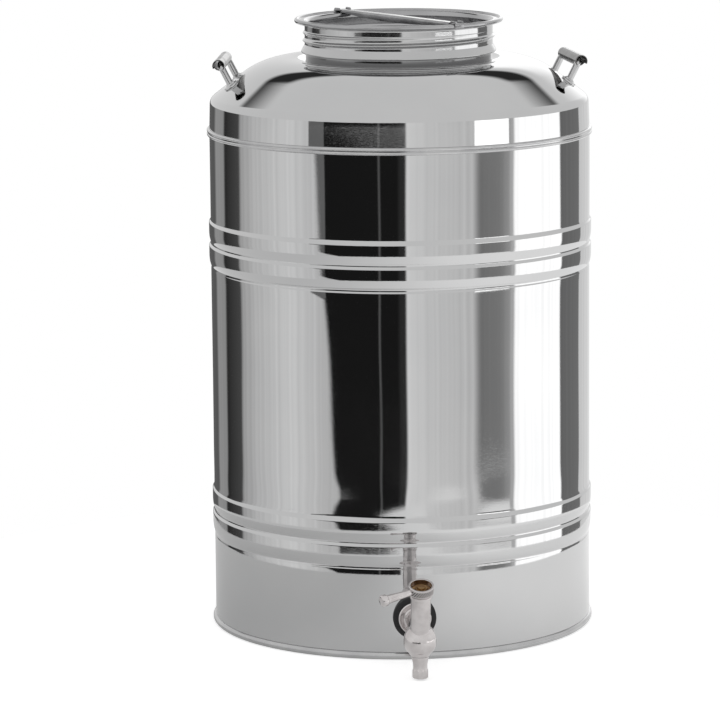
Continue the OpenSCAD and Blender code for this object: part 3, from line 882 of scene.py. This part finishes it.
def studio():
    """Light walls and dark flags round the horizon, an even tent above and a pale floor below."""
    world = bpy.data.worlds.new("studio")
    world.use_nodes = True
    tree = world.node_tree
    tree.nodes.clear()
    way = node(tree, "ShaderNodeTexCoord").outputs["Generated"]
    calc = partial(math_node, tree)

    def along(axis):
        made = node(tree, "ShaderNodeVectorMath", {0: way, 1: axis}, operation="DOT_PRODUCT")
        return made.outputs["Value"]

    def tone(value):
        return (*[linear(value)] * 3, 1)

    def rises(value, start, end):
        """From 0 to 1 as an angle, in degrees, goes from start to end."""
        return ranged(tree, value, start, end, 0, 1)

    azimuth = calc(calc(along(RIGHT), along(TOWARD), "ARCTAN2"), 180 / math.pi)
    height = calc(calc(along((0, 0, 1)), 0, "ARCSINE"), 180 / math.pi)
    share = node(tree, "ShaderNodeMapRange", {
        "Value": azimuth, "From Min": -180, "From Max": 180}).outputs["Result"]
    ramp = node(tree, "ShaderNodeValToRGB", {"Fac": share})
    stops = ramp.color_ramp.elements
    while len(stops) < len(PANELS):
        stops.new(0.5)
    for stop, (angle, value) in zip(stops, PANELS):
        stop.position = (angle + 180) / 360
        stop.color = tone(value)
    far_right = rises(azimuth, 138, 140)
    walls = mixed(tree, far_right, ramp.outputs["Color"], tone(0.72))
    streaks = node(tree, "ShaderNodeTexNoise", {"W": azimuth, "Scale": 0.35, "Detail": 4},
                   noise_dimensions="1D").outputs["Fac"]
    uneven = tinted(tree, streaks, [0.86] * 3, [1.14] * 3)
    walls = mixed(tree, 1.0, walls, uneven, "MULTIPLY")

    # A dark flag left of the camera, its edge slanting, with a paler strip and a thin line
    slant = calc(azimuth, calc(calc(height, 2.6), 19.2, "ADD"), "ADD")
    flag = calc(calc(rises(slant, -51.2, -50.2), rises(azimuth, 0, -2)), rises(azimuth, -56, -55.5))
    walls = mixed(tree, flag, walls, tone(0.11))
    strip = calc(flag, calc(rises(azimuth, -45.4, -46), rises(height, -8.6, -8)))
    walls = mixed(tree, strip, walls, tone(0.36))
    line_at = calc(rises(azimuth, -13.2, -12.6), rises(azimuth, -11.4, -12))
    walls = mixed(tree, line_at, walls, tone(0.3))

    # To the right, a bright window just under the tent's edge, and a pale stand lower down
    window = calc(calc(rises(azimuth, 45, 46), rises(azimuth, 69, 68)), rises(height, -5.6, -5.2))
    walls = mixed(tree, window, walls, tone(1.1))
    stand = calc(calc(rises(azimuth, 42, 47), rises(azimuth, 70, 69)), rises(height, -11.5, -12.3))
    walls = mixed(tree, stand, walls, tone(0.8))

    # The ground below and the tent above, and on the far side a dark beam and a soft light
    ground = tinted(tree, rises(along(RIGHT), -0.9, 0.9), [linear(0.68)] * 3, [linear(0.82)] * 3)
    walls = mixed(tree, rises(height, -12.7, -13.1), walls, ground)
    above = mixed(tree, rises(height, -3.2, -2.0), walls, tone(0.72))
    behind = calc(azimuth, 0, "ABSOLUTE")
    ceiling = calc(rises(behind, 138, 150), calc(rises(height, 30, 34), rises(height, 47, 42)))
    above = mixed(tree, ceiling, above, tone(0.16))
    backlight = calc(rises(azimuth, 150, 172), calc(rises(height, -2, 2), rises(height, 29, 22)))
    above = mixed(tree, backlight, above, tone(0.92))

    seen = node(tree, "ShaderNodeLightPath").outputs["Is Camera Ray"]
    shown = mixed(tree, seen, above, (1, 1, 1, 1))
    light = node(tree, "ShaderNodeBackground", {"Color": shown, "Strength": 1})
    out = node(tree, "ShaderNodeOutputWorld", {"Surface": light.outputs["Background"]})
    out.is_active_output = True
    bpy.context.scene.world = world
    bpy.context.scene.view_settings.view_transform = "Standard"


def floor():
    """A pale disc that the drum stands on. In reflections it glows more towards the right: painted
    light, as if lit from that side.
    """
    radius = 690
    points, faces = turned([(0, -3), (radius, -3), (radius, -0.2), (0, -0.2)], 180)
    mesh = bpy.data.meshes.new("floor")
    mesh.from_pydata((points * MM).tolist(), [], faces)
    made = bpy.data.objects.new("floor", mesh)
    bpy.context.scene.collection.objects.link(made)
    paint, tree, bsdf, place = shader("floor_paint")
    tree.links.new(tinted(tree, cloud(tree, place, 3), (0.62, 0.62, 0.62), (0.66, 0.66, 0.66)),
                   bsdf.inputs["Base Color"])
    bsdf.inputs["Roughness"].default_value = 0.9
    seen = node(tree, "ShaderNodeLightPath").outputs["Is Camera Ray"]
    bsdf.inputs["Emission Color"].default_value = (1, 1, 1, 1)
    across = node(tree, "ShaderNodeSeparateXYZ", {"Vector": place}).outputs["X"]
    # Painted light: for all but camera rays the floor glows more towards the right
    painted_right_light = ranged(tree, across, -0.35, 0.45, 0.1, 0.5)
    shown = node(tree, "ShaderNodeMix", {"Factor": seen, "A": painted_right_light, "B": 0.62}).outputs["Result"]
    tree.links.new(shown, bsdf.inputs["Emission Strength"])
    mesh.materials.append(paint)


camera()
studio()
floor()

drum_wall()
drum_bottom()
foot_roll_ring()
seam_fold()
shoulder()
neck()

seal()
lid()
grip_bar()
lid_clips()

for side, name in ((-1, "left"), (1, "right")):
    bail(side, name)
    pads(side, name)
    grip(side, name)

gasket()
tap_disc()
tap_casting()
spout()
gland()
knurled_ring()
stem()
lever()

# CAD nodes that stay as they are
for name, material in (("tap_inner_gasket", black_rubber), ("tap_washer", turned_steel),
                       ("tap_back_nut", turned_steel), ("tap_plug", brass),
                       ("plug_orings", black_rubber), ("thrust_washer", ptfe)):
    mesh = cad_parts[name].data
    mesh.materials.clear()
    mesh.materials.append(material)
